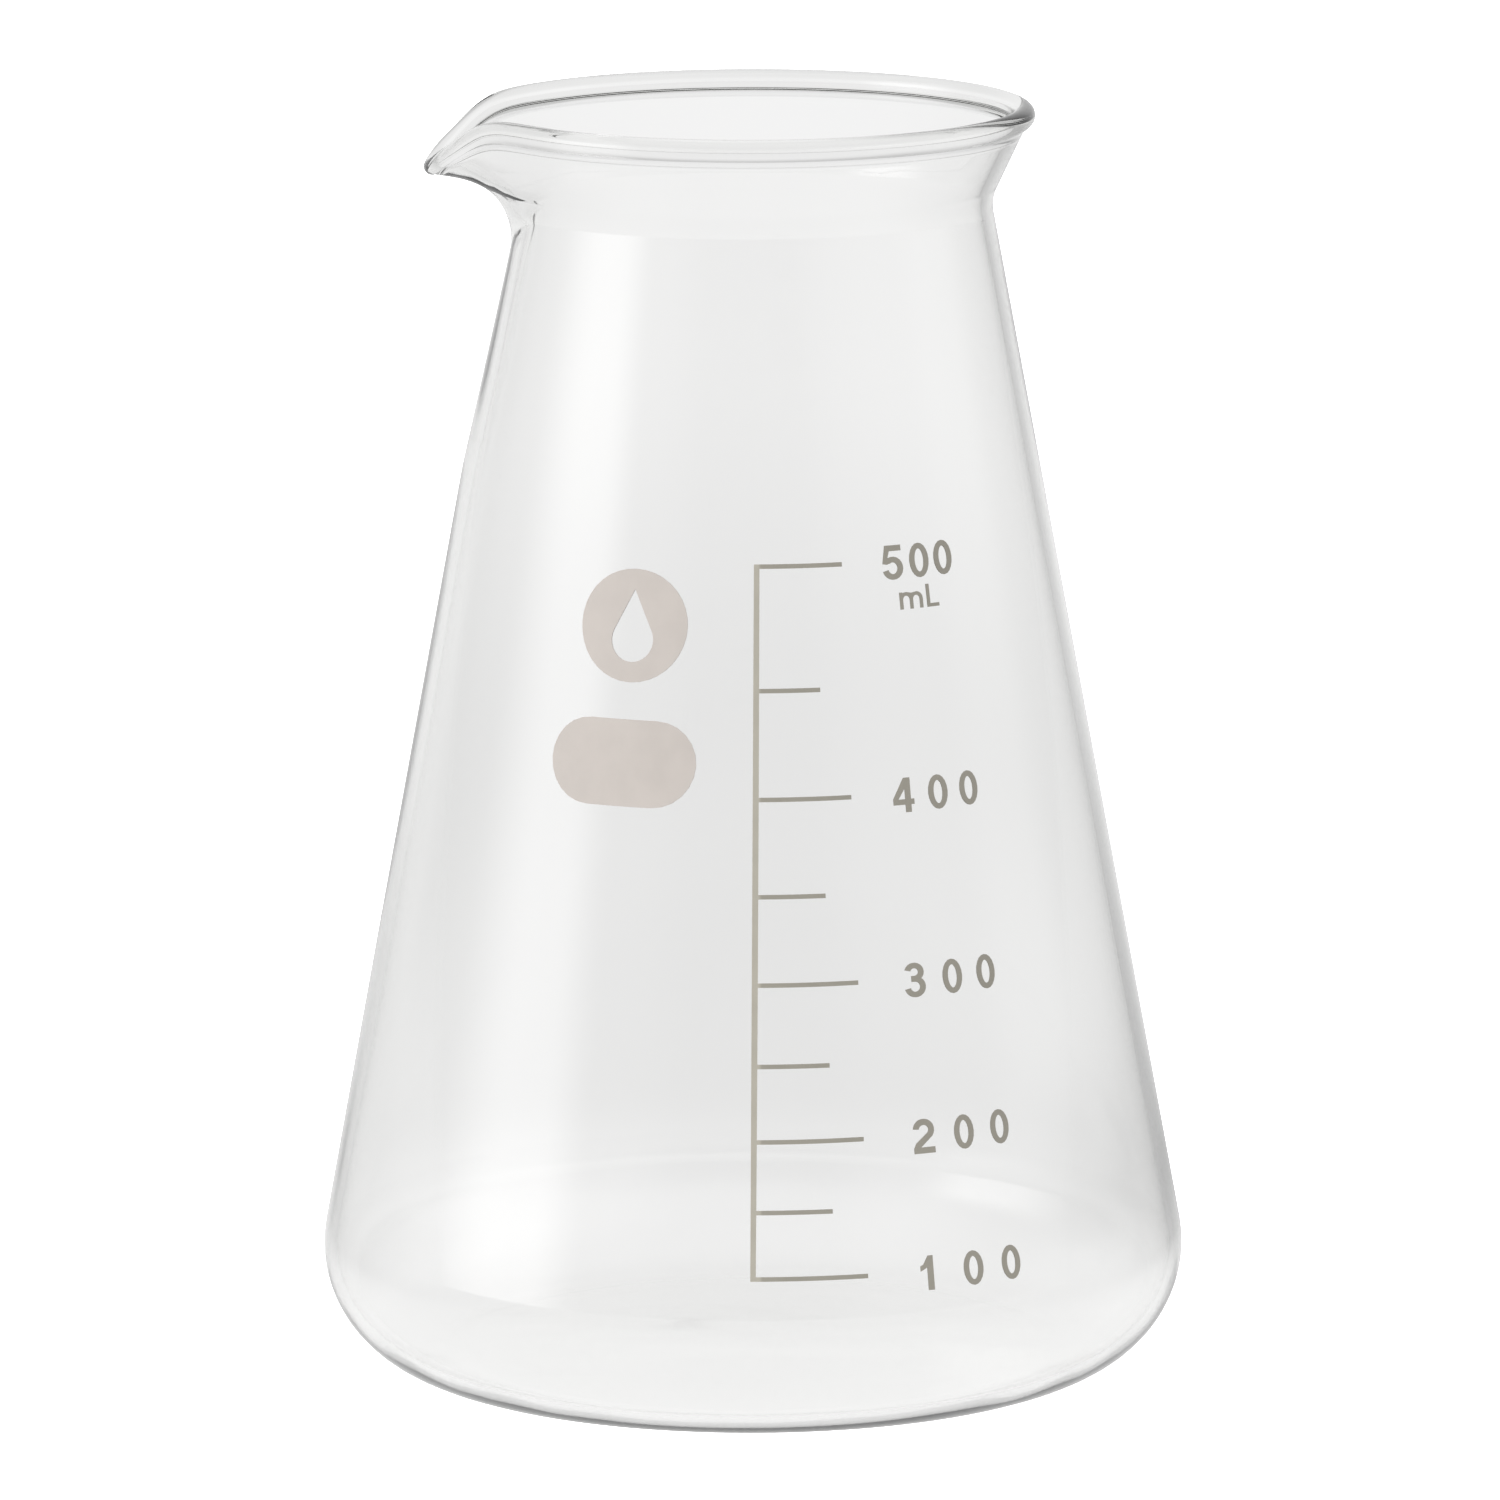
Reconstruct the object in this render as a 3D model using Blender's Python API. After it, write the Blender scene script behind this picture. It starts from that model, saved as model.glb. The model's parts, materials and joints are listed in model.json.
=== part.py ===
"""A 500 mL conical glass beaker with a beaded, flared rim, a pouring spout and a fired enamel scale.

Run it with: blender --background --python part.py

Frame: +Z up, origin on the bench under the centre of the base, spout towards -X, scale towards -Y.
The glass is one closed, hollow shell. Each enamel shape is a thin solid of its own, wrapped on the wall.
"""

import math

import bmesh
import bpy

MM = 0.001

# Driving dimensions of the glass
BODY_RADIUS = 49.75 * MM  # widest circle, where the heel would meet a vertical wall
HEIGHT = 146.9 * MM  # bench to the top of the rim bead
WALL = 1.5 * MM  # thickness of the wall, measured square to it
WALL_ANGLE = math.radians(10.47)  # lean of the cone's side, from the vertical
HEEL_RADIUS = 14.23 * MM  # outer round between the base and the side
INNER_HEEL_RADIUS = 12.4 * MM
FLOOR = 1.75 * MM  # glass under the lowest ring of the inside
INSIDE_PUSH_UP = 0.8 * MM  # rise of the floor's middle above that ring
UNDERSIDE_PUSH_UP = 0.75 * MM  # rise of the underside's middle above the bench
FOOT_INNER_RADIUS = 32.0 * MM  # the flat ring that it stands on starts here and ends at the heel
FLARE_ANGLE = math.radians(25.3)  # outward lean of the rim's flare
NECK_RADIUS = 4.8 * MM  # outer round between the side and the flare
BEAD_RADIUS = 1.3 * MM  # section of the rolled rim
LIP_BEAD_RADIUS = 1.0 * MM  # the same bead, drawn thinner at the lip
RIM_RADIUS = 31.2 * MM  # circle through the middle of the rim bead

# Driving dimensions of the spout
SPOUT_REACH = 36.4 * MM  # axis to the middle of the bead at the lip
SPOUT_THROAT = 26.7 * MM  # smallest radius of the middle of the wall, under the lip
SPOUT_CURVE_RADIUS = 7.6 * MM  # outer round between the side and the lip
SPOUT_TIP_RADIUS = 9.5 * MM
SPOUT_HALF_ANGLE = math.radians(49)  # between a side of the spout and its centre line, seen from above
SPOUT_BLEND = 7.0 * MM  # softness of the corner between a side of the spout and the rim
SPOUT_DROP = 5.8 * MM  # how far the lip hangs below the rim
SPOUT_DROP_SPREAD = math.radians(54)  # the drop fades out at this angle from the lip
SPOUT_DROP_SHARPNESS = 5.5
LIP_LEAN = math.radians(-65)  # lean of the wall where it meets the lip
SPOUT_FOOT = 105.0 * MM  # the spout starts to bend the side at this height

# Driving dimensions of the enamel
ENAMEL = 0.12 * MM
ENAMEL_GAP = 0.04 * MM  # from the wall to the enamel's inner face
LINE_WIDTH = 0.62 * MM  # the scale's upright line
TICK_WIDTH = 0.50 * MM
LONG_TICK = math.radians(15.3)
SHORT_TICK = math.radians(10.7)
SCALE_DATUM = 6.5 * MM  # the scale counts the contents from this height
PRINT_LEAN = math.radians(0.012) / MM  # turn of the artwork for each millimetre of height
PRINT_SPREAD = 0.0007 / MM  # growth of the artwork's angles for each millimetre of height
NUMERAL_ANGLES = [math.radians(angle) for angle in (24.2, 30.5, 36.5)]
TOP_NUMERAL_PITCH = 0.87  # the highest number is set this much closer than the others
NUMERAL_WIDTH = 2.6 * MM
NUMERAL_HEIGHT = 3.9 * MM
NUMERAL_STROKE = 0.7 * MM
NUMERAL_DROP = 0.2 * MM  # a numeral's middle sits this far below its line
UNIT_HEIGHT = 2.6 * MM
UNIT_STROKE = 0.4 * MM
UNIT_FALL = 4.2 * MM  # the unit's middle sits this far below the highest line
PATCH_ANGLE = math.radians(-22.5)
PATCH_HEIGHT = 77.0 * MM
PATCH_WIDTH = 17.6 * MM
PATCH_TALL = 9.8 * MM
EMBLEM_ANGLE = math.radians(-21.9)
EMBLEM_HEIGHT = 92.2 * MM
EMBLEM_RADIUS = 6.4 * MM
DROP_TALL = 8.2 * MM
DROP_RADIUS = 2.5 * MM

# Fineness of the meshes
SIDES = 72
SIDE_CROWDING = 0.4  # how strongly the sides crowd towards the spout
SIDE_SHARES = (0.0, 0.35, 0.7)  # rings on the bent part of the side
BEND_STEPS = 6
BEAD_STEPS = 9
FLARE_SHARES = (0.35, 0.7)
STRIP = math.radians(2.2)  # widest flat of an enamel shape

COLOURS = {
    "clear_glass": ((0.93, 0.95, 0.92, 1.0), 0.02),
    "grey_enamel": ((0.36, 0.34, 0.29, 1.0), 0.45),
    "pale_enamel": ((0.62, 0.57, 0.53, 1.0), 0.50),
}

# Sizes that follow from the driving dimensions
HEEL_CENTRE_RADIUS = BODY_RADIUS - HEEL_RADIUS
WALL_FOOT_RADIUS = HEEL_CENTRE_RADIUS + HEEL_RADIUS * math.cos(WALL_ANGLE)
WALL_FOOT_HEIGHT = HEEL_RADIUS * (1 + math.sin(WALL_ANGLE))
RIM_BEAD = (RIM_RADIUS, HEIGHT - BEAD_RADIUS)  # (radius, height) of the bead's middle
LIP_BEAD = (SPOUT_REACH, HEIGHT - BEAD_RADIUS - SPOUT_DROP)


def clear_scene():
    for old in list(bpy.data.objects):
        bpy.data.objects.remove(old)


def make_material(slot):
    colour, roughness = COLOURS[slot]
    material = bpy.data.materials.new(slot)
    material.use_nodes = True
    shader = material.node_tree.nodes["Principled BSDF"]
    shader.inputs["Base Color"].default_value = colour
    shader.inputs["Roughness"].default_value = roughness
    shader.inputs["Metallic"].default_value = 0.0
    if slot == "clear_glass":
        shader.inputs["Transmission Weight"].default_value = 1.0
        shader.inputs["IOR"].default_value = 1.47
    return material


def make_object(name, mesh_data, material):
    mesh = bpy.data.meshes.new(name)
    mesh_data.to_mesh(mesh)
    mesh_data.free()
    mesh.materials.append(material)
    made = bpy.data.objects.new(name, mesh)
    bpy.context.collection.objects.link(made)
    return made


def spread(first, last, steps):
    """steps + 1 even values from first to last."""
    return [first + (last - first) * step / steps for step in range(steps + 1)]


# The glass


def wall_radius(height):
    """Outer radius of the straight side."""
    return WALL_FOOT_RADIUS - (height - WALL_FOOT_HEIGHT) * math.tan(WALL_ANGLE)


def inner_heel_centre():
    """(radius, height) of the round that touches the inner side and the lowest ring of the inside."""
    height = FLOOR + INNER_HEEL_RADIUS
    rise = (height - HEEL_RADIUS) * math.sin(WALL_ANGLE)
    inset = HEEL_RADIUS - WALL - INNER_HEEL_RADIUS - rise
    return HEEL_CENTRE_RADIUS + inset / math.cos(WALL_ANGLE), height


def neck_centre():
    """(radius, height) of the centre that both neck rounds turn about, outside the glass."""
    reach = NECK_RADIUS + WALL / 2  # from the centre to the middle of the glass
    wall_out = math.cos(WALL_ANGLE) * wall_radius(0) + reach - WALL / 2
    flare_out = RIM_BEAD[0] * math.cos(FLARE_ANGLE) - RIM_BEAD[1] * math.sin(FLARE_ANGLE) + reach
    turn = math.sin(WALL_ANGLE + FLARE_ANGLE)
    radius = (wall_out * math.sin(FLARE_ANGLE) + flare_out * math.sin(WALL_ANGLE)) / turn
    height = (wall_out * math.cos(FLARE_ANGLE) - flare_out * math.cos(WALL_ANGLE)) / turn
    return radius, height


def bead_mouth(radius):
    """Half the angle over which the wall enters a bead of this radius."""
    return math.asin(WALL / 2 / radius)


def between(first, second, share):
    """The (radius, height) at this share of the way from one point to another."""
    return tuple(first[axis] + (second[axis] - first[axis]) * share for axis in (0, 1))


def middle_line(foot, centre, reach, leans, bead, bead_radius):
    """The middle of the wall from a foot on the side, round a centre outside the glass, into a bead.

    Each point is (radius, height, lean), with the lean from the vertical towards the axis.
    """
    depth = bead_radius * math.cos(bead_mouth(bead_radius))
    end = (bead[0] + depth * math.sin(leans[1]), bead[1] - depth * math.cos(leans[1]))
    bend = [
        (centre[0] - reach * math.cos(lean), centre[1] - reach * math.sin(lean), lean)
        for lean in spread(*leans, BEND_STEPS)
    ]
    side = [(*between(foot, bend[0], share), leans[0]) for share in SIDE_SHARES]
    flare = [(*between(bend[-1], end, share), leans[1]) for share in FLARE_SHARES]
    return side + bend + flare


def spout_foot():
    return wall_radius(SPOUT_FOOT) - WALL / 2 / math.cos(WALL_ANGLE), SPOUT_FOOT


def rim_line():
    """The middle of the wall away from the spout."""
    reach = NECK_RADIUS + WALL / 2
    leans = (WALL_ANGLE, -FLARE_ANGLE)
    return middle_line(spout_foot(), neck_centre(), reach, leans, RIM_BEAD, BEAD_RADIUS)


def lip_line():
    """The middle of the wall through the lip: the side leans in further and turns level under the lip."""
    foot = spout_foot()
    reach = SPOUT_CURVE_RADIUS + WALL / 2
    centre = (SPOUT_THROAT + reach, LIP_BEAD[1] - reach)
    out, up = centre[0] - foot[0], centre[1] - foot[1]
    lean = math.asin(reach / math.hypot(out, up)) - math.atan2(out, up)
    return middle_line(foot, centre, reach, (lean, LIP_LEAN), LIP_BEAD, LIP_BEAD_RADIUS)


def bead_line(middle, lean, radius):
    """Stations round a bead, from the wall's outer face over the top to its inner face."""
    start = bead_mouth(radius) - math.pi / 2
    return [(*middle, lean + turn, radius) for turn in spread(start, math.pi - start, BEAD_STEPS)]


def profile():
    """The glass's rings, from the underside's middle round the outside and the rim to the floor's middle.

    Each ring is two stations, one away from the spout and one at the lip. A station is (radius, height,
    turn, step): a place in the middle of the wall, and a step from it to the surface, turned up from level.
    """
    lines = list(zip(rim_line(), lip_line()))
    rings = []
    for share in (0.25, 0.5, 0.75, 1.0):
        rings.append(still(FOOT_INNER_RADIUS * share, push_up(UNDERSIDE_PUSH_UP, share)))
    for turn in spread(-math.pi / 2, WALL_ANGLE, 7):
        radius = HEEL_CENTRE_RADIUS + HEEL_RADIUS * math.cos(turn)
        rings.append(still(radius, HEEL_RADIUS * (1 + math.sin(turn))))
    rings += [((*plain, WALL / 2), (*lip, WALL / 2)) for plain, lip in lines]
    rim_bead = bead_line(RIM_BEAD, -FLARE_ANGLE, BEAD_RADIUS)
    rings += zip(rim_bead, bead_line(LIP_BEAD, LIP_LEAN, LIP_BEAD_RADIUS))
    rings += [((*plain, -WALL / 2), (*lip, -WALL / 2)) for plain, lip in reversed(lines)]
    centre_radius, centre_height = inner_heel_centre()
    for turn in reversed(spread(-math.pi / 2, WALL_ANGLE, 6)):
        radius = centre_radius + INNER_HEEL_RADIUS * math.cos(turn)
        rings.append(still(radius, centre_height + INNER_HEEL_RADIUS * math.sin(turn)))
    for share in (0.75, 0.5, 0.25):
        rings.append(still(centre_radius * share, FLOOR + push_up(INSIDE_PUSH_UP, share)))
    return rings


def still(radius, height):
    """A ring that the spout leaves alone."""
    station = (radius, height, 0.0, 0.0)
    return station, station


def push_up(rise, share):
    """Height of a smooth dome at this share of its radius."""
    return rise * (1 + math.cos(math.pi * share)) / 2


def spout_reach(angle):
    """Radius of the rim bead's middle at this angle from the lip: a rounded V that blends into the rim."""
    tip_centre = SPOUT_REACH - SPOUT_TIP_RADIUS
    turn = abs(angle)
    tangent = math.atan2(
        SPOUT_TIP_RADIUS * math.cos(SPOUT_HALF_ANGLE),
        tip_centre + SPOUT_TIP_RADIUS * math.sin(SPOUT_HALF_ANGLE),
    )
    if turn < tangent:
        across = tip_centre * math.sin(turn)
        reach = tip_centre * math.cos(turn) + math.sqrt(SPOUT_TIP_RADIUS**2 - across**2)
    else:
        side = tip_centre * math.sin(SPOUT_HALF_ANGLE) + SPOUT_TIP_RADIUS
        reach = side / math.sin(min(turn + SPOUT_HALF_ANGLE, math.pi / 2))
    overlap = max(SPOUT_BLEND - abs(reach - RIM_RADIUS), 0.0) / SPOUT_BLEND
    return max(reach, RIM_RADIUS) + SPOUT_BLEND * overlap**2 / 4


def spout_share(angle):
    """How far the rim is pulled towards the lip at this angle: 0 on the plain rim, 1 at the lip."""
    if abs(angle) > math.pi / 2:
        return 0.0
    plain = spout_reach(math.pi / 2)
    return (spout_reach(angle) - plain) / (spout_reach(0) - plain)


def drop_share(angle):
    """How far the rim has come down towards the lip's height at this angle."""
    if abs(angle) > SPOUT_DROP_SPREAD:
        return 0.0
    beside = (1 + math.cos(math.pi * angle / SPOUT_DROP_SPREAD)) / 2
    return beside**SPOUT_DROP_SHARPNESS


def glass_point(angle, ring):
    """Where a ring's surface lies at this angle from the lip. The step out stays square to the wall."""
    pulled, dropped = spout_share(angle), drop_share(angle)
    radius, height, turn, step = (
        plain + (lip - plain) * share
        for plain, lip, share in zip(*ring, (pulled, dropped, dropped, pulled))
    )
    nudge = 1e-4
    slope = (spout_share(angle + nudge) - spout_share(angle - nudge)) / (2 * nudge)
    slope *= ring[1][0] - ring[0][0]
    out = step * math.cos(turn) / math.hypot(radius, slope)
    along = radius + out * radius
    across = -out * slope
    return (
        -along * math.cos(angle) + across * math.sin(angle),
        -along * math.sin(angle) - across * math.cos(angle),
        height + step * math.sin(turn),
    )


def side_angles():
    """Angles of the glass's sides, crowded towards the lip."""
    even = [2 * math.pi * side / SIDES - math.pi for side in range(SIDES)]
    return [turn - SIDE_CROWDING * math.sin(turn) for turn in even]


def make_vessel(material):
    mesh = bmesh.new()
    angles = side_angles()
    loops = [[mesh.verts.new(glass_point(angle, ring)) for angle in angles] for ring in profile()]
    for lower, upper in zip(loops, loops[1:]):
        for side in range(SIDES):
            beside = (side + 1) % SIDES
            mesh.faces.new((lower[side], lower[beside], upper[beside], upper[side]))
    for loop, height in ((loops[0], UNDERSIDE_PUSH_UP), (loops[-1], FLOOR + INSIDE_PUSH_UP)):
        pole = mesh.verts.new((0.0, 0.0, height))
        for side in range(SIDES):
            mesh.faces.new((loop[side], loop[(side + 1) % SIDES], pole))
    bmesh.ops.recalc_face_normals(mesh, faces=mesh.faces)
    vessel = make_object("vessel", mesh, material)
    vessel.data.shade_smooth()
    return vessel


# The scale's heights


def inner_radius(height):
    """Radius of the inside, on the straight side or on a heel round that follows the outer one."""
    side = wall_radius(height) - WALL / math.cos(WALL_ANGLE)
    if height >= WALL_FOOT_HEIGHT:
        return side
    heel = HEEL_RADIUS - WALL
    return min(side, HEEL_CENTRE_RADIUS + math.sqrt(heel**2 - (HEEL_RADIUS - height) ** 2))


def graduation_height(millilitres):
    """Height at which the inside holds this volume above SCALE_DATUM."""
    step = 0.05 * MM
    height = SCALE_DATUM
    left = millilitres * MM * 0.001
    while left > 0:
        slice_volume = math.pi * inner_radius(height + step / 2) ** 2 * step
        height += step * min(left / slice_volume, 1.0)
        left -= slice_volume
    return height


# Enamel shapes, as outlines on the wall


def print_angle(angle, height):
    """An angle of the artwork where it lands at this height: the artwork leans a little and fans out."""
    above = height - graduation_height(100)
    return angle * (1 + PRINT_SPREAD * above) + PRINT_LEAN * above


def placed(outline, angle, height):
    """An outline in metres around its own middle, moved to an angle and height of the wall."""
    moved = []
    for x, y in outline:
        up = height + y * math.cos(WALL_ANGLE)
        moved.append((angle + x / wall_radius(up), up))
    return moved


def wall_point(angle, height, lift):
    radius = wall_radius(height) + lift * math.cos(WALL_ANGLE)
    return (radius * math.sin(angle), -radius * math.cos(angle), height + lift * math.sin(WALL_ANGLE))


def make_enamel(name, outlines, material):
    """A thin solid from outlines in (angle, height): the first is its edge, any other is a hole."""
    mesh = bmesh.new()
    flat_radius = wall_radius(outlines[0][0][1])
    for outline in outlines:
        corners = [mesh.verts.new((angle * flat_radius, height, 0.0)) for angle, height in outline]
        for first, second in zip(corners, corners[1:] + corners[:1]):
            mesh.edges.new((first, second))
    bmesh.ops.triangle_fill(mesh, use_beauty=True, edges=mesh.edges, normal=(0, 0, 1))
    angles = [angle for outline in outlines for angle, _ in outline]
    cuts = math.ceil((max(angles) - min(angles)) / STRIP)
    for angle in spread(min(angles), max(angles), cuts)[1:-1]:
        everything = mesh.verts[:] + mesh.edges[:] + mesh.faces[:]
        place = (angle * flat_radius, 0, 0)
        bmesh.ops.bisect_plane(mesh, geom=everything, dist=1e-7, plane_co=place, plane_no=(1, 0, 0))
    inner = mesh.verts[:]
    bmesh.ops.extrude_face_region(mesh, geom=mesh.faces[:], use_keep_orig=True)
    inner = set(inner)
    for vert in mesh.verts:
        lift = ENAMEL_GAP if vert in inner else ENAMEL_GAP + ENAMEL
        vert.co = wall_point(vert.co.x / flat_radius, vert.co.y, lift)
    bmesh.ops.recalc_face_normals(mesh, faces=mesh.faces)
    enamel = make_object(name, mesh, material)
    enamel.data.shade_smooth()
    enamel.data.set_sharp_from_angle(angle=math.radians(40))
    return enamel


def arc(centre, radii, start, end, steps):
    """Points of an elliptical arc; angles in degrees, anticlockwise from +x."""
    turns = [math.radians(turn) for turn in spread(start, end, steps)]
    return [(centre[0] + radii[0] * math.cos(turn), centre[1] + radii[1] * math.sin(turn)) for turn in turns]


def ring(radii, steps):
    return arc((0, 0), radii, 0, 360, steps)[:-1]


def centred(outlines, width, height):
    """Outlines drawn from a lower left corner, moved to stand round their middle."""
    return [[(x - width / 2, y - height / 2) for x, y in outline] for outline in outlines]


def scale_outline():
    """The upright line with a line to the right at each graduation, as one comb."""
    heights = {volume: graduation_height(volume) for volume in range(100, 501, 50)}
    half_tick = TICK_WIDTH / 2
    bottom = heights[100] - half_tick
    top = heights[500] + half_tick

    def edge(height, side):
        return print_angle(0, height) + side * LINE_WIDTH / 2 / wall_radius(height)

    comb = [(edge(top, -1), top), (edge(bottom, -1), bottom)]
    for volume, height in heights.items():
        length = LONG_TICK if volume % 100 == 0 else SHORT_TICK
        end = print_angle(length, height)
        low, high = height - half_tick, height + half_tick
        if volume != 100:
            comb.append((edge(low, 1), low))
        comb.append((end, low))
        comb.append((end, high))
        if volume != 500:
            comb.append((edge(high, 1), high))
    return comb


def zero():
    half_width, half_height = NUMERAL_WIDTH / 2, NUMERAL_HEIGHT / 2
    hole = (half_width - NUMERAL_STROKE, half_height - 0.9 * NUMERAL_STROKE)
    return [ring((0.98 * half_width, half_height), 20), ring(hole, 20)]


def one():
    stem = 1.05 * NUMERAL_STROKE
    width = 0.6 * NUMERAL_WIDTH
    shoulder = NUMERAL_HEIGHT - 1.4 * NUMERAL_STROKE
    outline = [
        (width, 0),
        (width, NUMERAL_HEIGHT),
        (width - 0.8 * stem, NUMERAL_HEIGHT),
        (0.45 * (width - stem), shoulder),
        (0, shoulder - 0.25 * NUMERAL_STROKE),
        (0, shoulder - 1.1 * NUMERAL_STROKE),
        (width - stem, shoulder - 0.5 * NUMERAL_STROKE),
        (width - stem, 0),
    ]
    return centred([outline], NUMERAL_WIDTH, NUMERAL_HEIGHT)


def two():
    width, stroke = NUMERAL_WIDTH, NUMERAL_STROKE
    bowl_radius = width / 2
    centre = (bowl_radius, NUMERAL_HEIGHT - 0.95 * bowl_radius)
    outer = (bowl_radius, 0.95 * bowl_radius)
    inner = (outer[0] - stroke, outer[1] - stroke)
    outline = arc(centre, outer, 175, -38, 14)
    outline += [(0.33 * width, stroke), (width, stroke), (width, 0), (0, 0), (0, 0.9 * stroke)]
    outline += [(0.12 * width, 1.7 * stroke)]
    outline += arc(centre, inner, -42, 175, 12)
    return centred([outline], width, NUMERAL_HEIGHT)


def three():
    width, stroke = NUMERAL_WIDTH, NUMERAL_STROKE
    upper = (0.46 * width, 0.27 * NUMERAL_HEIGHT)
    lower = (0.50 * width, 0.305 * NUMERAL_HEIGHT)
    upper_centre = (0.49 * width, NUMERAL_HEIGHT - upper[1])
    lower_centre = (0.50 * width, lower[1])
    inner_upper = (upper[0] - stroke, upper[1] - 0.9 * stroke)
    inner_lower = (lower[0] - stroke, lower[1] - 0.9 * stroke)
    outline = arc(upper_centre, upper, 165, -50, 13)
    outline += arc(lower_centre, lower, 48, -168, 14)
    outline += arc(lower_centre, inner_lower, -168, 90, 14)
    outline += [(0.34 * width, lower_centre[1] + inner_lower[1])]
    outline += [(0.34 * width, upper_centre[1] - inner_upper[1])]
    outline += arc(upper_centre, inner_upper, -90, 165, 12)
    return centred([outline], width, NUMERAL_HEIGHT)


def four():
    width, stroke = NUMERAL_WIDTH, NUMERAL_STROKE
    stem_right = 0.84 * width
    stem_left = stem_right - stroke
    bar = 0.22 * NUMERAL_HEIGHT
    outline = [
        (stem_left, 0),
        (stem_right, 0),
        (stem_right, bar),
        (width, bar),
        (width, bar + 0.9 * stroke),
        (stem_right, bar + 0.9 * stroke),
        (stem_right, NUMERAL_HEIGHT),
        (stem_left - 0.1 * stroke, NUMERAL_HEIGHT),
        (0, bar + stroke),
        (0, bar),
        (stem_left, bar),
    ]
    hole = [
        (stem_left, bar + 0.9 * stroke),
        (0.9 * stroke, bar + 0.9 * stroke),
        (stem_left, NUMERAL_HEIGHT - 1.7 * stroke),
    ]
    return centred([outline, hole], width, NUMERAL_HEIGHT)


def five():
    width, stroke = NUMERAL_WIDTH, NUMERAL_STROKE
    bowl = (0.5 * width, 0.335 * NUMERAL_HEIGHT)
    centre = (0.5 * width, bowl[1])
    inner = (bowl[0] - stroke, bowl[1] - 0.92 * stroke)
    outline = arc(centre, bowl, -165, 118, 16)
    outline += [
        (0.36 * width, NUMERAL_HEIGHT - 0.95 * stroke),
        (0.94 * width, NUMERAL_HEIGHT - 0.95 * stroke),
        (0.94 * width, NUMERAL_HEIGHT),
        (0.17 * width, NUMERAL_HEIGHT),
        (0.02 * width, 0.47 * NUMERAL_HEIGHT),
        (0.22 * width, 0.45 * NUMERAL_HEIGHT),
    ]
    outline += arc(centre, inner, 125, -165, 14)
    return centred([outline], width, NUMERAL_HEIGHT)


def unit_m():
    stroke, width, height = UNIT_STROKE, 1.15 * UNIT_HEIGHT, 0.74 * UNIT_HEIGHT
    gap = (width - 3 * stroke) / 2
    arch = (gap / 2, gap / 2)
    spring = height - stroke - arch[1]
    outline = [(0, 0), (stroke, 0)]
    for hump in range(2):
        left = stroke + hump * (gap + stroke)
        outline += arc((left + gap / 2, spring), arch, 180, 0, 6)
        outline += [(left + gap, 0), (left + gap + stroke, 0)]
    outline += arc((width - stroke - gap / 2, spring), (gap / 2 + stroke, arch[1] + stroke), 0, 80, 4)
    outline += [(width / 2, height - 0.3 * stroke)]
    outline += arc((stroke + gap / 2, spring), (gap / 2 + stroke, arch[1] + stroke), 80, 120, 3)
    outline += [(stroke, height - 0.5 * stroke), (stroke, height), (0, height)]
    return centred([outline], width, UNIT_HEIGHT)


def unit_litre():
    width = 0.62 * UNIT_HEIGHT
    outline = [(0, 0), (width, 0), (width, UNIT_STROKE), (UNIT_STROKE, UNIT_STROKE)]
    outline += [(UNIT_STROKE, UNIT_HEIGHT), (0, UNIT_HEIGHT)]
    return centred([outline], width, UNIT_HEIGHT)


def patch_outline():
    """A field with round ends, for writing on."""
    end = PATCH_TALL / 2
    straight = PATCH_WIDTH / 2 - end
    return arc((straight, 0), (end, end), -90, 90, 12) + arc((-straight, 0), (end, end), 90, 270, 12)


def drop_outline():
    """A hanging drop: a round foot with two straight sides up to a point."""
    centre = (0, DROP_RADIUS - DROP_TALL / 2)
    side = math.degrees(math.acos(DROP_RADIUS / (DROP_TALL - DROP_RADIUS)))
    return arc(centre, (DROP_RADIUS, DROP_RADIUS), 90 + side, 450 - side, 18) + [(0, DROP_TALL / 2)]


def place_all(outlines, angle, height):
    return [placed(outline, angle, height) for outline in outlines]


def make_numerals(material):
    """Three numerals beside each full hundred."""
    shapes = {1: one(), 2: two(), 3: three(), 4: four(), 5: five()}
    for hundreds, first in shapes.items():
        height = graduation_height(100 * hundreds) - NUMERAL_DROP
        places = {"hundreds": first, "tens": zero(), "units": zero()}
        middle = NUMERAL_ANGLES[1]
        pitch = TOP_NUMERAL_PITCH if hundreds == max(shapes) else 1
        for angle, (place, outlines) in zip(NUMERAL_ANGLES, places.items()):
            angle = middle + (angle - middle) * pitch
            shape = place_all(outlines, print_angle(angle, height), height)
            make_enamel(f"numeral_{hundreds}00_{place}", shape, material)


def make_unit(material):
    """The letters for millilitres, under the highest numeral."""
    height = graduation_height(500) - UNIT_FALL
    middle = print_angle(NUMERAL_ANGLES[1], height)
    spacing = UNIT_HEIGHT / wall_radius(height)
    make_enamel("unit_letter_m", place_all(unit_m(), middle - 0.55 * spacing, height), material)
    make_enamel("unit_letter_L", place_all(unit_litre(), middle + 0.55 * spacing, height), material)


def make_marks(material):
    """The field to write on, and a plain drop in a disc above it."""
    make_enamel("marking_patch", [placed(patch_outline(), PATCH_ANGLE, PATCH_HEIGHT)], material)
    emblem = [ring((EMBLEM_RADIUS, EMBLEM_RADIUS), 36), drop_outline()]
    make_enamel("drop_emblem", place_all(emblem, EMBLEM_ANGLE, EMBLEM_HEIGHT), material)


def main():
    clear_scene()
    materials = {slot: make_material(slot) for slot in COLOURS}
    make_vessel(materials["clear_glass"])
    make_enamel("graduation_scale", [scale_outline()], materials["grey_enamel"])
    make_numerals(materials["grey_enamel"])
    make_unit(materials["grey_enamel"])
    make_marks(materials["pale_enamel"])


main()
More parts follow.
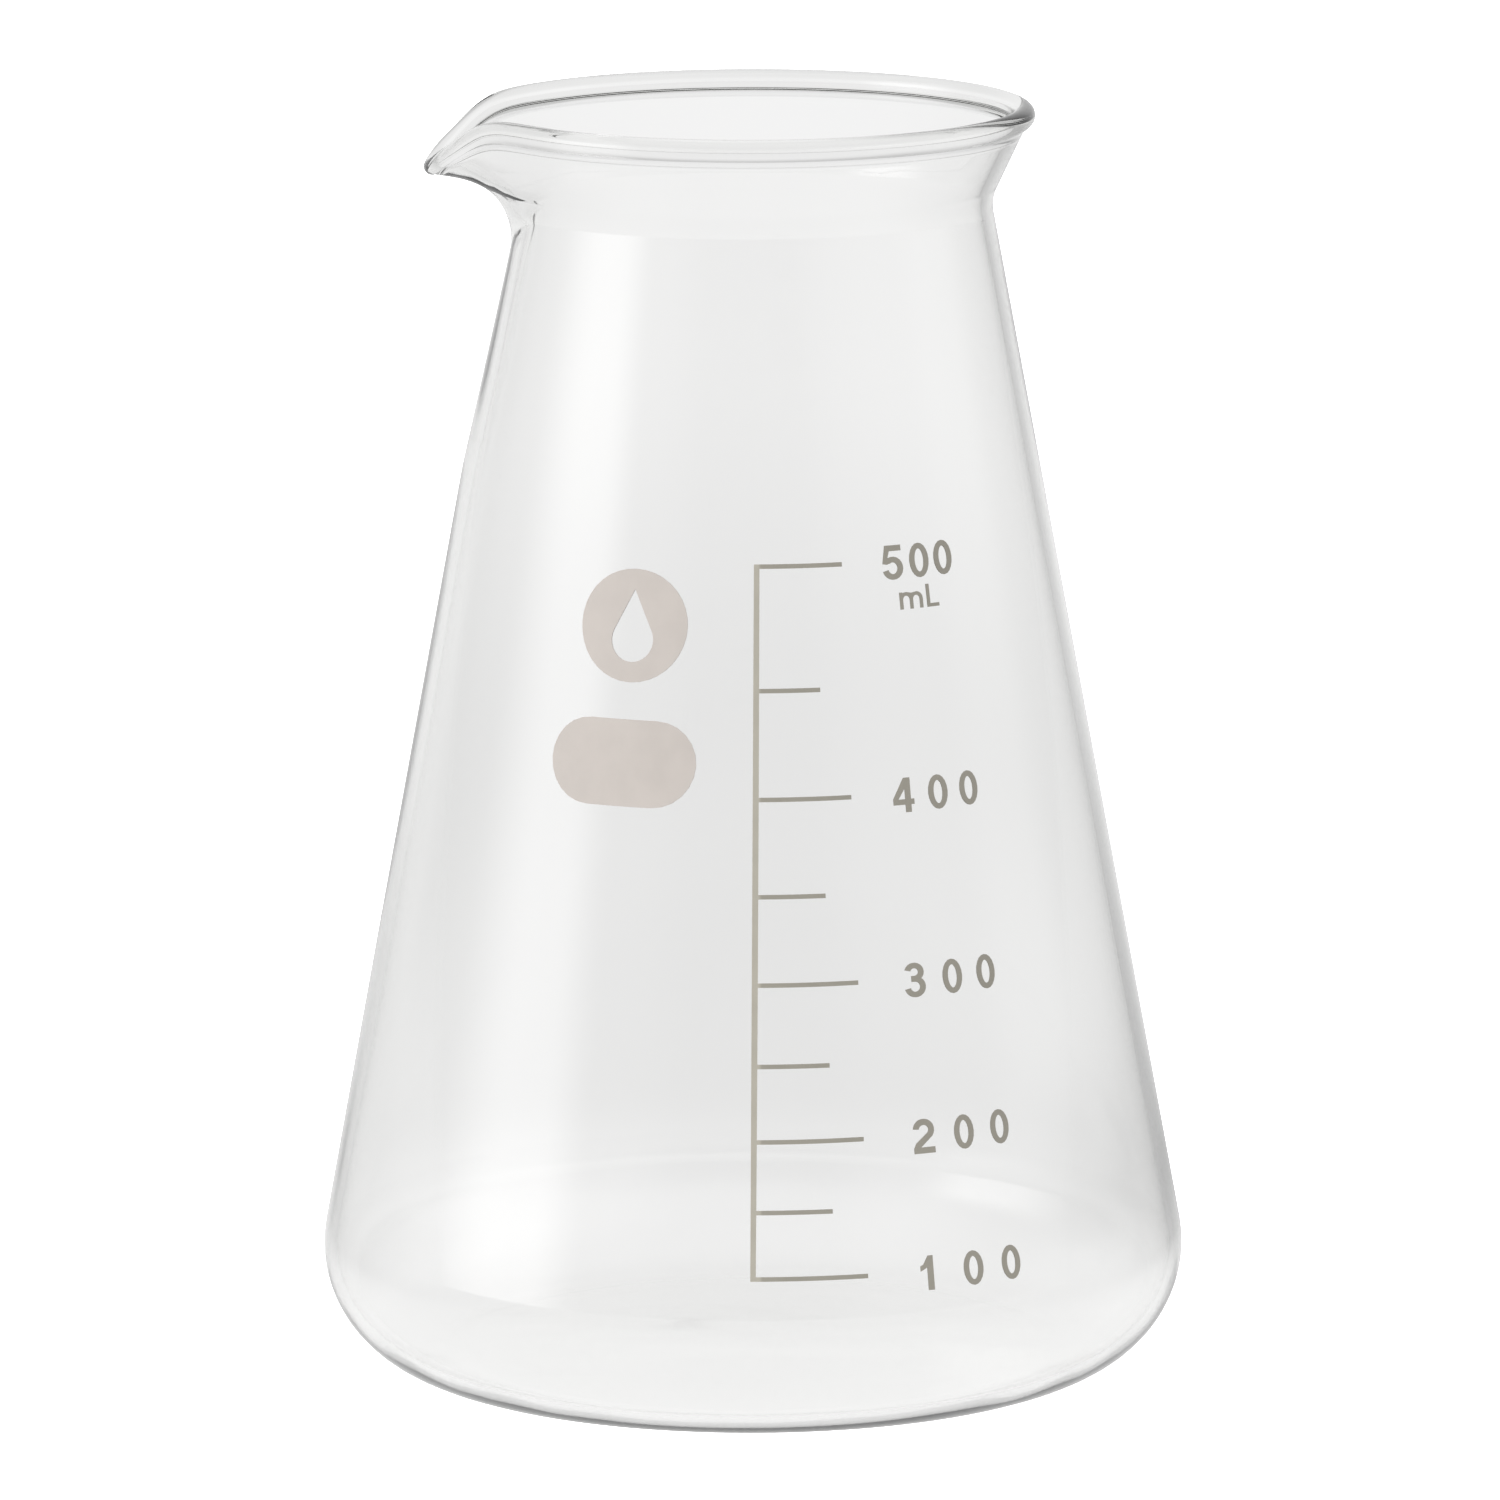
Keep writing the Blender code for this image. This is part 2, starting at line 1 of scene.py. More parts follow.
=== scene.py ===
"""Looks for a 500 mL conical glass beaker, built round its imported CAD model.

The glass is rebuilt finer here, from the CAD's own sizes, and the enamel keeps the CAD's shapes. The studio
is a bright sweep behind the beaker, with a soft box on each side, and it turns with the camera.
"""

import json
import math

import bmesh
import bpy
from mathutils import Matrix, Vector


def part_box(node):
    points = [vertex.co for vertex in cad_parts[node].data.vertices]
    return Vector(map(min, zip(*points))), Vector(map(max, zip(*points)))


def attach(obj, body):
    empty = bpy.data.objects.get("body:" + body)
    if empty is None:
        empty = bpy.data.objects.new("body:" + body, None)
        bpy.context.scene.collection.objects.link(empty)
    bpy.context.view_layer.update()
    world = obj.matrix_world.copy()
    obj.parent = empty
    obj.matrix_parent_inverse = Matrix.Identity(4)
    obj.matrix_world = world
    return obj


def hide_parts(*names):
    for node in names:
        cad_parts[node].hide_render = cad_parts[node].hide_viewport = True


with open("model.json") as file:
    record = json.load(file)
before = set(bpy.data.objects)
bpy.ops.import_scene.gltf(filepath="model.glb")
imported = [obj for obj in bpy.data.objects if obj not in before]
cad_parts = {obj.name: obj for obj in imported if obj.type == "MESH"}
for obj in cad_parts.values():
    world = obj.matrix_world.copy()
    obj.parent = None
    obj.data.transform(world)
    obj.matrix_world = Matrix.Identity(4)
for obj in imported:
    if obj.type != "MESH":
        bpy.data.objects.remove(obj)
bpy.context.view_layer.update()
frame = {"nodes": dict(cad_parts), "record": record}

MM = 0.001

# Driving dimensions of the glass
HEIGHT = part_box("vessel")[1].z  # bench to the top of the rim bead
BODY_RADIUS = 49.75 * MM  # widest circle, where the heel would meet a vertical wall
WALL = 1.5 * MM  # thickness of the wall, measured square to it
WALL_ANGLE = math.radians(10.47)  # lean of the cone's side, from the vertical
HEEL_RADIUS = 14.23 * MM  # outer round between the base and the side
INNER_HEEL_RADIUS = 12.4 * MM
FLOOR = 1.75 * MM  # glass under the lowest ring of the inside
INSIDE_PUSH_UP = 0.8 * MM  # rise of the floor's middle above that ring
UNDERSIDE_PUSH_UP = 0.75 * MM  # rise of the underside's middle above the bench
FOOT_INNER_RADIUS = 32.0 * MM  # the flat ring that it stands on starts here
FLARE_ANGLE = math.radians(25.3)  # outward lean of the rim's flare
NECK_RADIUS = 4.8 * MM  # outer round between the side and the flare
BEAD_RADIUS = 1.3 * MM  # section of the rolled rim
LIP_BEAD_RADIUS = 1.0 * MM  # the same bead, drawn thinner at the lip
RIM_RADIUS = 31.2 * MM  # circle through the middle of the rim bead

# Driving dimensions of the spout
SPOUT_REACH = 36.4 * MM  # axis to the middle of the bead at the lip
SPOUT_THROAT = 26.7 * MM  # smallest radius of the middle of the wall, under the lip
SPOUT_CURVE_RADIUS = 7.6 * MM  # outer round between the side and the lip
SPOUT_TIP_RADIUS = 9.5 * MM
SPOUT_HALF_ANGLE = math.radians(49)  # between a side of the spout and its centre line, seen from above
SPOUT_BLEND = 7.0 * MM  # softness of the corner between a side of the spout and the rim
SPOUT_DROP = 5.8 * MM  # how far the lip hangs below the rim
SPOUT_DROP_SPREAD = math.radians(54)  # the drop fades out at this angle from the lip
SPOUT_DROP_SHARPNESS = 5.5
LIP_LEAN = math.radians(-65)  # lean of the wall where it meets the lip
SPOUT_FOOT = 105.0 * MM  # the spout starts to bend the side at this height

# How finely the glass is made: the sides crowd together at the spout
SIDES = 360
SIDE_CROWDING = 0.35
SIDE_STEPS = 8
BEND_STEPS = 16
FLARE_STEPS = 6
BEAD_STEPS = 22
HEEL_STEPS = 18
DOME_STEPS = 14

# Sizes worked out from those
HEEL_CENTRE_RADIUS = BODY_RADIUS - HEEL_RADIUS
WALL_FOOT_RADIUS = HEEL_CENTRE_RADIUS + HEEL_RADIUS * math.cos(WALL_ANGLE)
WALL_FOOT_HEIGHT = HEEL_RADIUS * (1 + math.sin(WALL_ANGLE))
RIM_BEAD = (RIM_RADIUS, HEIGHT - BEAD_RADIUS)
LIP_BEAD = (SPOUT_REACH, HEIGHT - BEAD_RADIUS - SPOUT_DROP)

# Looks
GLASS_IOR = 1.47
GLASS_TINT = (0.84, 0.85, 0.76, 1.0)  # nearly what is left of white light after 1 / GLASS_DENSITY metres
GLASS_DENSITY = 22.0
WAVE_SIZE = 20 * MM
WAVE_STRETCH = 4.0  # the waves are this much longer upwards
WAVE_HEIGHT = 0.1 * MM  # the glass is uneven by less than this
CLOUD_SIZE = 4 * MM
CLOUD_EDGES = (0.3, 0.7)  # the values of the noise where the enamel is darkest and palest
ENAMEL_UNEVENNESS = 0.05  # share by which the enamel's colour varies
ENAMEL_ROUGHNESS = (0.45, 0.6)
ENAMEL_MIRRORED = 0.9  # share of the enamel that is missing from its mirror images in the glass
GRAIN_SIZE = 0.4 * MM
GRAIN_HEIGHT = 0.01 * MM
THIN_PRINT = {"grey_enamel": 1.35, "pale_enamel": 1.0}  # how much paler the print is left of its edge
THIN_PRINT_EDGE = (0.7 * MM, 1.1 * MM)  # just right of the scale's upright line

# The studio's light, by direction: ACROSS is degrees to the right of the way the camera looks, and UP is
# degrees above level. A pair is the (start, end) of a change, and two pairs are a rise and a fall.
SIDE_LIGHT = 0.53
FRONT_LIGHT = 0.30  # behind the camera
FRONT_ACROSS = (100, 160)
BACK_LIGHT = 0.33  # added by the sweep behind the beaker
BACK_ACROSS = ((-78, -14), (13, 34))
TOP_LIGHT = 0.58
TOP_UP = (12, 40)
CAMERA_SHADE = 0.2  # taken away by the camera's own dark outline
CAMERA_SHADE_ACROSS = (140, 165)
CAMERA_SHADE_UP = ((-6, 2), (16, 30))
LEFT_BOX = 1.35
LEFT_BOX_ACROSS = ((-134, -116), (-106, -76))
LEFT_BOX_UP = ((-14, -2), (14, 30))
RIGHT_BOX = 0.3
RIGHT_BOX_ACROSS = ((62, 80), (90, 112))
RIGHT_BOX_UP = ((-12, 4), (8, 34))
SEEN_WHITE = 2.0  # the camera itself sees a plain white studio
KEY_POWER = 17.0
KEY_SIZE = 0.6
KEY_PLACE = Vector((-0.5, -1.2, 1.3))  # to the camera's right, the way it looks, and up

# The floor, which glows like the sweep, with painted light and shade near the beaker
STUDIO_REACH = 3.0
STUDIO_DROP = 0.05 * MM  # the floor lies this far under the beaker
# painted pool of light: the floor glows brightest under the beaker
UNDER_BEAKER_PAINTED_LIGHT = 0.91
PAINTED_POOL_REACH = (0.03, 0.16)  # the brightness under the beaker fades out at these distances
FLOOR_PAINTED_SHADE = 0.12  # share of the light missing from a painted shaded ring round the beaker
FLOOR_PAINTED_SHADE_REACH = ((0.05, 0.15), (0.35, 0.80))
FRONT_FLOOR_PAINTED_LIGHT = 0.22  # painted extra light on the floor on the camera's side of the beaker
FRONT_FLOOR_PAINTED_LIGHT_ACROSS = (30, 150)

# The camera looks at a place near the middle of the beaker, a little down and barely rolled
AIM = Vector((0.28 * MM, 0, 0.4893 * HEIGHT))
CAMERA_DISTANCE = 1.422
CAMERA_TILT = math.radians(10.459)
CAMERA_ROLL = 0.002
CAMERA_LENS = 296.25


def add_object(name, data):
    made = bpy.data.objects.new(name, data)
    bpy.context.collection.objects.link(made)
    return made


def spread(first, last, steps):
    """steps + 1 even values from first to last."""
    return [first + (last - first) * step / steps for step in range(steps + 1)]


def between(first, second, share):
    """The (radius, height) at this share of the way from one point to another."""
    return tuple(first[axis] + (second[axis] - first[axis]) * share for axis in (0, 1))


def wall_radius(height):
    """Outer radius of the straight side."""
    return WALL_FOOT_RADIUS - (height - WALL_FOOT_HEIGHT) * math.tan(WALL_ANGLE)


def inner_heel_centre():
    """(radius, height) of the round that touches the inner side and the lowest ring of the inside."""
    height = FLOOR + INNER_HEEL_RADIUS
    rise = (height - HEEL_RADIUS) * math.sin(WALL_ANGLE)
    inset = HEEL_RADIUS - WALL - INNER_HEEL_RADIUS - rise
    return HEEL_CENTRE_RADIUS + inset / math.cos(WALL_ANGLE), height


def neck_centre():
    """(radius, height) of the centre that both neck rounds turn about, outside the glass."""
    reach = NECK_RADIUS + WALL / 2  # from the centre to the middle of the glass
    wall_out = math.cos(WALL_ANGLE) * wall_radius(0) + reach - WALL / 2
    flare_out = RIM_BEAD[0] * math.cos(FLARE_ANGLE) - RIM_BEAD[1] * math.sin(FLARE_ANGLE) + reach
    turn = math.sin(WALL_ANGLE + FLARE_ANGLE)
    radius = (wall_out * math.sin(FLARE_ANGLE) + flare_out * math.sin(WALL_ANGLE)) / turn
    height = (wall_out * math.cos(FLARE_ANGLE) - flare_out * math.cos(WALL_ANGLE)) / turn
    return radius, height


def bead_mouth(radius):
    """Half the angle over which the wall enters a bead of this radius."""
    return math.asin(WALL / 2 / radius)


def middle_line(foot, centre, reach, leans, bead, bead_radius):
    """The middle of the wall from a foot on the side, round a centre outside the glass, into a bead.

    Each point is (radius, height, lean), with the lean from the vertical towards the axis.
    """
    depth = bead_radius * math.cos(bead_mouth(bead_radius))
    end = (bead[0] + depth * math.sin(leans[1]), bead[1] - depth * math.cos(leans[1]))
    bend = [
        (centre[0] - reach * math.cos(lean), centre[1] - reach * math.sin(lean), lean)
        for lean in spread(*leans, BEND_STEPS)
    ]
    side = [(*between(foot, bend[0], share), leans[0]) for share in spread(0, 1, SIDE_STEPS)[:-1]]
    flare = [(*between(bend[-1], end, share), leans[1]) for share in spread(0, 1, FLARE_STEPS)[1:-1]]
    return side + bend + flare


def spout_foot():
    """(radius, height) in the middle of the side where the spout starts."""
    return wall_radius(SPOUT_FOOT) - WALL / 2 / math.cos(WALL_ANGLE), SPOUT_FOOT


def rim_line():
    """The middle of the wall away from the spout."""
    reach = NECK_RADIUS + WALL / 2
    leans = (WALL_ANGLE, -FLARE_ANGLE)
    return middle_line(spout_foot(), neck_centre(), reach, leans, RIM_BEAD, BEAD_RADIUS)


def lip_line():
    """The middle of the wall through the lip: the side leans in further and turns level under the lip."""
    foot = spout_foot()
    reach = SPOUT_CURVE_RADIUS + WALL / 2
    centre = (SPOUT_THROAT + reach, LIP_BEAD[1] - reach)
    out, up = centre[0] - foot[0], centre[1] - foot[1]
    lean = math.asin(reach / math.hypot(out, up)) - math.atan2(out, up)
    return middle_line(foot, centre, reach, (lean, LIP_LEAN), LIP_BEAD, LIP_BEAD_RADIUS)


def bead_line(middle, lean, radius):
    """Stations round a bead, from the wall's outer face over the top to its inner face."""
    start = bead_mouth(radius) - math.pi / 2
    return [(*middle, lean + turn, radius) for turn in spread(start, math.pi - start, BEAD_STEPS)]


def still(radius, height):
    """A ring that the spout leaves alone."""
    station = (radius, height, 0.0, 0.0)
    return station, station


def push_up(rise, share):
    """Height of a smooth dome at this share of its radius."""
    return rise * (1 + math.cos(math.pi * share)) / 2


def profile():
    """The glass's rings, from the underside's middle round the outside and the rim to the floor's middle.

    Each ring is two stations, one away from the spout and one at the lip. A station is (radius, height,
    turn, step): a place in the middle of the wall, and a step from it to the surface, turned up from level.
    """
    lines = list(zip(rim_line(), lip_line()))
    rings = []
    for share in spread(0, 1, DOME_STEPS)[1:]:
        rings.append(still(FOOT_INNER_RADIUS * share, push_up(UNDERSIDE_PUSH_UP, share)))
    for turn in spread(-math.pi / 2, WALL_ANGLE, HEEL_STEPS):
        radius = HEEL_CENTRE_RADIUS + HEEL_RADIUS * math.cos(turn)
        rings.append(still(radius, HEEL_RADIUS * (1 + math.sin(turn))))
    rings += [((*plain, WALL / 2), (*lip, WALL / 2)) for plain, lip in lines]
    rim_bead = bead_line(RIM_BEAD, -FLARE_ANGLE, BEAD_RADIUS)
    rings += zip(rim_bead, bead_line(LIP_BEAD, LIP_LEAN, LIP_BEAD_RADIUS))
    rings += [((*plain, -WALL / 2), (*lip, -WALL / 2)) for plain, lip in reversed(lines)]
    centre_radius, centre_height = inner_heel_centre()
    for turn in reversed(spread(-math.pi / 2, WALL_ANGLE, HEEL_STEPS)):
        radius = centre_radius + INNER_HEEL_RADIUS * math.cos(turn)
        rings.append(still(radius, centre_height + INNER_HEEL_RADIUS * math.sin(turn)))
    for share in reversed(spread(0, 1, DOME_STEPS)[1:-1]):
        rings.append(still(centre_radius * share, FLOOR + push_up(INSIDE_PUSH_UP, share)))
    return rings


def spout_reach(angle):
    """Radius of the rim bead's middle at this angle from the lip: a rounded V that blends into the rim."""
    tip_centre = SPOUT_REACH - SPOUT_TIP_RADIUS
    turn = abs(angle)
    tangent = math.atan2(
        SPOUT_TIP_RADIUS * math.cos(SPOUT_HALF_ANGLE),
        tip_centre + SPOUT_TIP_RADIUS * math.sin(SPOUT_HALF_ANGLE),
    )
    if turn < tangent:
        across = tip_centre * math.sin(turn)
        reach = tip_centre * math.cos(turn) + math.sqrt(SPOUT_TIP_RADIUS**2 - across**2)
    else:
        side = tip_centre * math.sin(SPOUT_HALF_ANGLE) + SPOUT_TIP_RADIUS
        reach = side / math.sin(min(turn + SPOUT_HALF_ANGLE, math.pi / 2))
    overlap = max(SPOUT_BLEND - abs(reach - RIM_RADIUS), 0.0) / SPOUT_BLEND
    return max(reach, RIM_RADIUS) + SPOUT_BLEND * overlap**2 / 4


def spout_share(angle):
    """How far the rim is pulled towards the lip at this angle: 0 on the plain rim, 1 at the lip."""
    if abs(angle) > math.pi / 2:
        return 0.0
    plain = spout_reach(math.pi / 2)
    return (spout_reach(angle) - plain) / (spout_reach(0) - plain)


def drop_share(angle):
    """How far the rim has come down towards the lip's height at this angle."""
    if abs(angle) > SPOUT_DROP_SPREAD:
        return 0.0
    beside = (1 + math.cos(math.pi * angle / SPOUT_DROP_SPREAD)) / 2
    return beside**SPOUT_DROP_SHARPNESS


def side_angles():
    """Angles of the glass's sides, crowded towards the lip."""
    even = [2 * math.pi * side / SIDES - math.pi for side in range(SIDES)]
    return [turn - SIDE_CROWDING * math.sin(turn) for turn in even]


def glass_sides():
    """Each side's angle, its pull and drop towards the lip, and how fast the pull grows with the angle."""
    nudge = 1e-4
    sides = []
    for angle in side_angles():
        rate = (spout_share(angle + nudge) - spout_share(angle - nudge)) / (2 * nudge)
        sides.append((angle, spout_share(angle), drop_share(angle), rate))
    return sides


def glass_point(side, ring):
    """Where a ring's surface lies on one side of the glass. The step out stays square to the wall."""
    angle, pulled, dropped, rate = side
    radius, height, turn, step = (
        plain + (lip - plain) * share
        for plain, lip, share in zip(*ring, (pulled, dropped, dropped, pulled))
    )
    slope = rate * (ring[1][0] - ring[0][0])
    out = step * math.cos(turn) / math.hypot(radius, slope)
    along = radius + out * radius
    across = -out * slope
    return (
        -along * math.cos(angle) + across * math.sin(angle),
        -along * math.sin(angle) - across * math.cos(angle),
        height + step * math.sin(turn),
    )


def shell_faces(rings):
    """Faces between this many rings, and round the two poles, whose points come last."""
    faces = []
    for low in range(rings - 1):
        for side in range(SIDES):
            beside = (side + 1) % SIDES
            first, second = low * SIDES, (low + 1) * SIDES
            faces.append((first + side, first + beside, second + beside, second + side))
    last = (rings - 1) * SIDES
    under_pole, floor_pole = rings * SIDES, rings * SIDES + 1
    for side in range(SIDES):
        beside = (side + 1) % SIDES
        faces.append((beside, side, under_pole))
        faces.append((last + side, last + beside, floor_pole))
    return faces


def make_vessel():
    """The glass as one closed shell, in the place of the CAD's coarser one."""
    rings = profile()
    sides = glass_sides()
    points = [glass_point(side, ring) for ring in rings for side in sides]
    points.append((0.0, 0.0, UNDERSIDE_PUSH_UP))
    points.append((0.0, 0.0, FLOOR + INSIDE_PUSH_UP))
    mesh = bpy.data.meshes.new("glass_vessel")
    mesh.from_pydata(points, [], shell_faces(len(rings)))
    mesh.shade_smooth()
    mesh.materials.append(glass_material())
    vessel = add_object("glass_vessel", mesh)
    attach(vessel, "root")
    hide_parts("vessel")


def join(tree, value, socket):
    """Feeds a socket from another node's output, or from a plain value."""
    if isinstance(value, bpy.types.NodeSocket):
        tree.links.new(value, socket)
    else:
        socket.default_value = value


def math_node(tree, operation, *values):
    """One Math node; each value is a number or another node's output."""
    node = tree.nodes.new("ShaderNodeMath")
    node.operation = operation
    for socket, value in zip(node.inputs, values):
        join(tree, value, socket)
    return node.outputs[0]


def ramp(tree, value, start, end, low=0.0, high=1.0):
    """Eases from low to high while the value goes from start to end."""
    node = tree.nodes.new("ShaderNodeMapRange")
    node.interpolation_type = "SMOOTHSTEP"
    for socket, given in zip(node.inputs, (value, start, end, low, high)):
        join(tree, given, socket)
    return node.outputs[0]


def window(tree, value, rise, fall):
    """1 between two slopes and 0 outside them; each slope is the (start, end) of its change."""
    return math_node(tree, "SUBTRACT", ramp(tree, value, *rise), ramp(tree, value, *fall))


def mixed(tree, first, second, share):
    """The first number where the share is 0 and the second where it is 1."""
    node = tree.nodes.new("ShaderNodeMix")
    for socket, value in zip((node.inputs[2], node.inputs[3], node.inputs[0]), (first, second, share)):
        join(tree, value, socket)
    return node.outputs[0]


def scaled(tree, vector, strength):
    """A vector or colour made stronger or weaker by a number."""
    node = tree.nodes.new("ShaderNodeVectorMath")
    node.operation = "SCALE"
    join(tree, vector, node.inputs[0])
    join(tree, strength, node.inputs["Scale"])
    return node.outputs[0]


def noise(tree, size, stretch=1.0, detail=2.0):
    """Cloudy noise with lumps of this size in metres, drawn out upwards by the stretch."""
    coords = tree.nodes.new("ShaderNodeTexCoord")
    mapping = tree.nodes.new("ShaderNodeMapping")
    mapping.inputs["Scale"].default_value = (1, 1, 1 / stretch)
    tree.links.new(coords.outputs["Object"], mapping.inputs["Vector"])
    node = tree.nodes.new("ShaderNodeTexNoise")
    node.inputs["Scale"].default_value = 1 / size
    node.inputs["Detail"].default_value = detail
    tree.links.new(mapping.outputs[0], node.inputs["Vector"])
    return node.outputs[0]


def bump(tree, height, distance):
    """A surface that looks this distance higher where the height is 1 than where it is 0."""
    node = tree.nodes.new("ShaderNodeBump")
    node.inputs["Distance"].default_value = distance
    tree.links.new(height, node.inputs["Height"])
    return node.outputs[0]


def light_path(tree, output):
    return tree.nodes.new("ShaderNodeLightPath").outputs[output]


def whitened(tree, light):
    """The light, or plain white where the camera looks straight at it."""
    return math_node(tree, "MULTIPLY_ADD", light_path(tree, "Is Camera Ray"), SEEN_WHITE, light)


def new_material(name):
    material = bpy.data.materials.new(name)
    material.use_nodes = True
    tree = material.node_tree
    return material, tree, tree.nodes["Principled BSDF"]


def glass_material():
    """Clear, slightly wavy glass that turns olive where it is looked through lengthways."""
    material, tree, shader = new_material("clear_glass_look")
    shader.inputs["Base Color"].default_value = (1, 1, 1, 1)
    shader.inputs["Transmission Weight"].default_value = 1.0
    shader.inputs["IOR"].default_value = GLASS_IOR
    shader.inputs["Roughness"].default_value = 0.0
    waves = noise(tree, WAVE_SIZE, stretch=WAVE_STRETCH, detail=1.0)
    tree.links.new(bump(tree, waves, WAVE_HEIGHT), shader.inputs["Normal"])
    absorb = tree.nodes.new("ShaderNodeVolumeAbsorption")
    absorb.inputs["Color"].default_value = GLASS_TINT
    absorb.inputs["Density"].default_value = GLASS_DENSITY
    tree.links.new(absorb.outputs[0], tree.nodes["Material Output"].inputs["Volume"])
    return material


def enamel_material(slot):
    """Fired enamel in the record's colour, cloudy and finely grained; the glass does not mirror it."""
    found = next(item for item in frame["record"]["materials"] if item["slot"] == slot)
    material, tree, shader = new_material(slot + "_look")
    colour = found["base_color"][:3]
    clouds = noise(tree, CLOUD_SIZE, detail=3.0)
    strength = ramp(tree, clouds, *CLOUD_EDGES, 1 - ENAMEL_UNEVENNESS / 2, 1 + ENAMEL_UNEVENNESS / 2)
    coords = tree.nodes.new("ShaderNodeTexCoord")
    parts = tree.nodes.new("ShaderNodeSeparateXYZ")
    tree.links.new(coords.outputs["Object"], parts.inputs[0])
    thinness = ramp(tree, parts.outputs["X"], *THIN_PRINT_EDGE, THIN_PRINT[slot], 1.0)
    strength = math_node(tree, "MULTIPLY", strength, thinness)
    tree.links.new(scaled(tree, colour, strength), shader.inputs["Base Color"])
    tree.links.new(ramp(tree, clouds, *CLOUD_EDGES, *ENAMEL_ROUGHNESS), shader.inputs["Roughness"])
    grain = noise(tree, GRAIN_SIZE)
    tree.links.new(bump(tree, grain, GRAIN_HEIGHT), shader.inputs["Normal"])
    clear = tree.nodes.new("ShaderNodeBsdfTransparent")
    mix = tree.nodes.new("ShaderNodeMixShader")
    mirrored = math_node(tree, "MINIMUM", light_path(tree, "Glossy Depth"), ENAMEL_MIRRORED)
    tree.links.new(mirrored, mix.inputs[0])
    tree.links.new(shader.outputs[0], mix.inputs[1])
    tree.links.new(clear.outputs[0], mix.inputs[2])
    tree.links.new(mix.outputs[0], tree.nodes["Material Output"].inputs["Surface"])
    return material


def studio_place(tree, studio):
    """x to the camera's right, y the way it looks and z up, as a direction or a place on the floor."""
    coords = tree.nodes.new("ShaderNodeTexCoord")
    coords.object = studio
    parts = tree.nodes.new("ShaderNodeSeparateXYZ")
    tree.links.new(coords.outputs["Object"], parts.inputs[0])
    return parts.outputs


def degrees_across(tree, x, y):
    """Degrees to the right of the way the camera looks."""
    return math_node(tree, "DEGREES", math_node(tree, "ARCTAN2", x, y))


def sweep_light(tree, across):
    """How bright the studio is all round, at the level of the camera."""
    light = ramp(tree, math_node(tree, "ABSOLUTE", across), *FRONT_ACROSS, SIDE_LIGHT, FRONT_LIGHT)
    return math_node(tree, "MULTIPLY_ADD", window(tree, across, *BACK_ACROSS), BACK_LIGHT, light)


def soft_box(tree, across, up, sides, ends, strength):
    """A patch of light with soft edges."""
    inside = math_node(tree, "MULTIPLY", window(tree, across, *sides), window(tree, up, *ends))
    return math_node(tree, "MULTIPLY", inside, strength)


def make_world(studio):
    """Light from all round, which turns with the camera."""
    world = bpy.data.worlds.new("studio_light")
    bpy.context.scene.world = world
    world.use_nodes = True
    tree = world.node_tree
    x, y, z = studio_place(tree, studio)
    across = degrees_across(tree, x, y)
    up = math_node(tree, "DEGREES", math_node(tree, "ARCSINE", z))
    behind = ramp(tree, math_node(tree, "ABSOLUTE", across), *CAMERA_SHADE_ACROSS)
    dark = math_node(tree, "MULTIPLY", behind, window(tree, up, *CAMERA_SHADE_UP))
    light = math_node(tree, "MULTIPLY_ADD", dark, -CAMERA_SHADE, sweep_light(tree, across))
    light = mixed(tree, light, TOP_LIGHT, ramp(tree, up, *TOP_UP))
    left = soft_box(tree, across, up, LEFT_BOX_ACROSS, LEFT_BOX_UP, LEFT_BOX)
    right = soft_box(tree, across, up, RIGHT_BOX_ACROSS, RIGHT_BOX_UP, RIGHT_BOX)
    for box in (left, right):
        light = math_node(tree, "ADD", light, box)
    tree.links.new(whitened(tree, light), tree.nodes["Background"].inputs["Strength"])
    tree.nodes["Background"].inputs["Color"].default_value = (1, 1, 1, 1)


def floor_material(studio):
    """A floor that glows like the sweep, with a painted pool of light under the beaker, a painted shaded
    ring round it and painted extra light on the camera's side.
    """
    material, tree, shader = new_material("floor_look")
    shader.inputs["Base Color"].default_value = (0.1, 0.1, 0.1, 1)
    shader.inputs["Roughness"].default_value = 1.0
    shader.inputs["Specular IOR Level"].default_value = 0.0
    x, y, _ = studio_place(tree, studio)
    across = degrees_across(tree, x, y)
    squares = math_node(tree, "MULTIPLY_ADD", x, x, math_node(tree, "MULTIPLY", y, y))
    reach = math_node(tree, "SQRT", squares)
    # painted extra light on the floor towards the camera
    camera_side_glow = ramp(tree, math_node(tree, "ABSOLUTE", across), *FRONT_FLOOR_PAINTED_LIGHT_ACROSS)
    light = math_node(tree, "MULTIPLY_ADD", camera_side_glow, FRONT_FLOOR_PAINTED_LIGHT, sweep_light(tree, across))
    # painted shade: a darker ring on the floor round the beaker
    painted_shade_ring = window(tree, reach, *FLOOR_PAINTED_SHADE_REACH)
    light = math_node(tree, "MULTIPLY_ADD", math_node(tree, "MULTIPLY", painted_shade_ring, light), -FLOOR_PAINTED_SHADE, light)
    # painted pool of light under the beaker
    light = mixed(tree, UNDER_BEAKER_PAINTED_LIGHT, light, ramp(tree, reach, *PAINTED_POOL_REACH))
    shader.inputs["Emission Color"].default_value = (1, 1, 1, 1)
    tree.links.new(whitened(tree, light), shader.inputs["Emission Strength"])
    return material


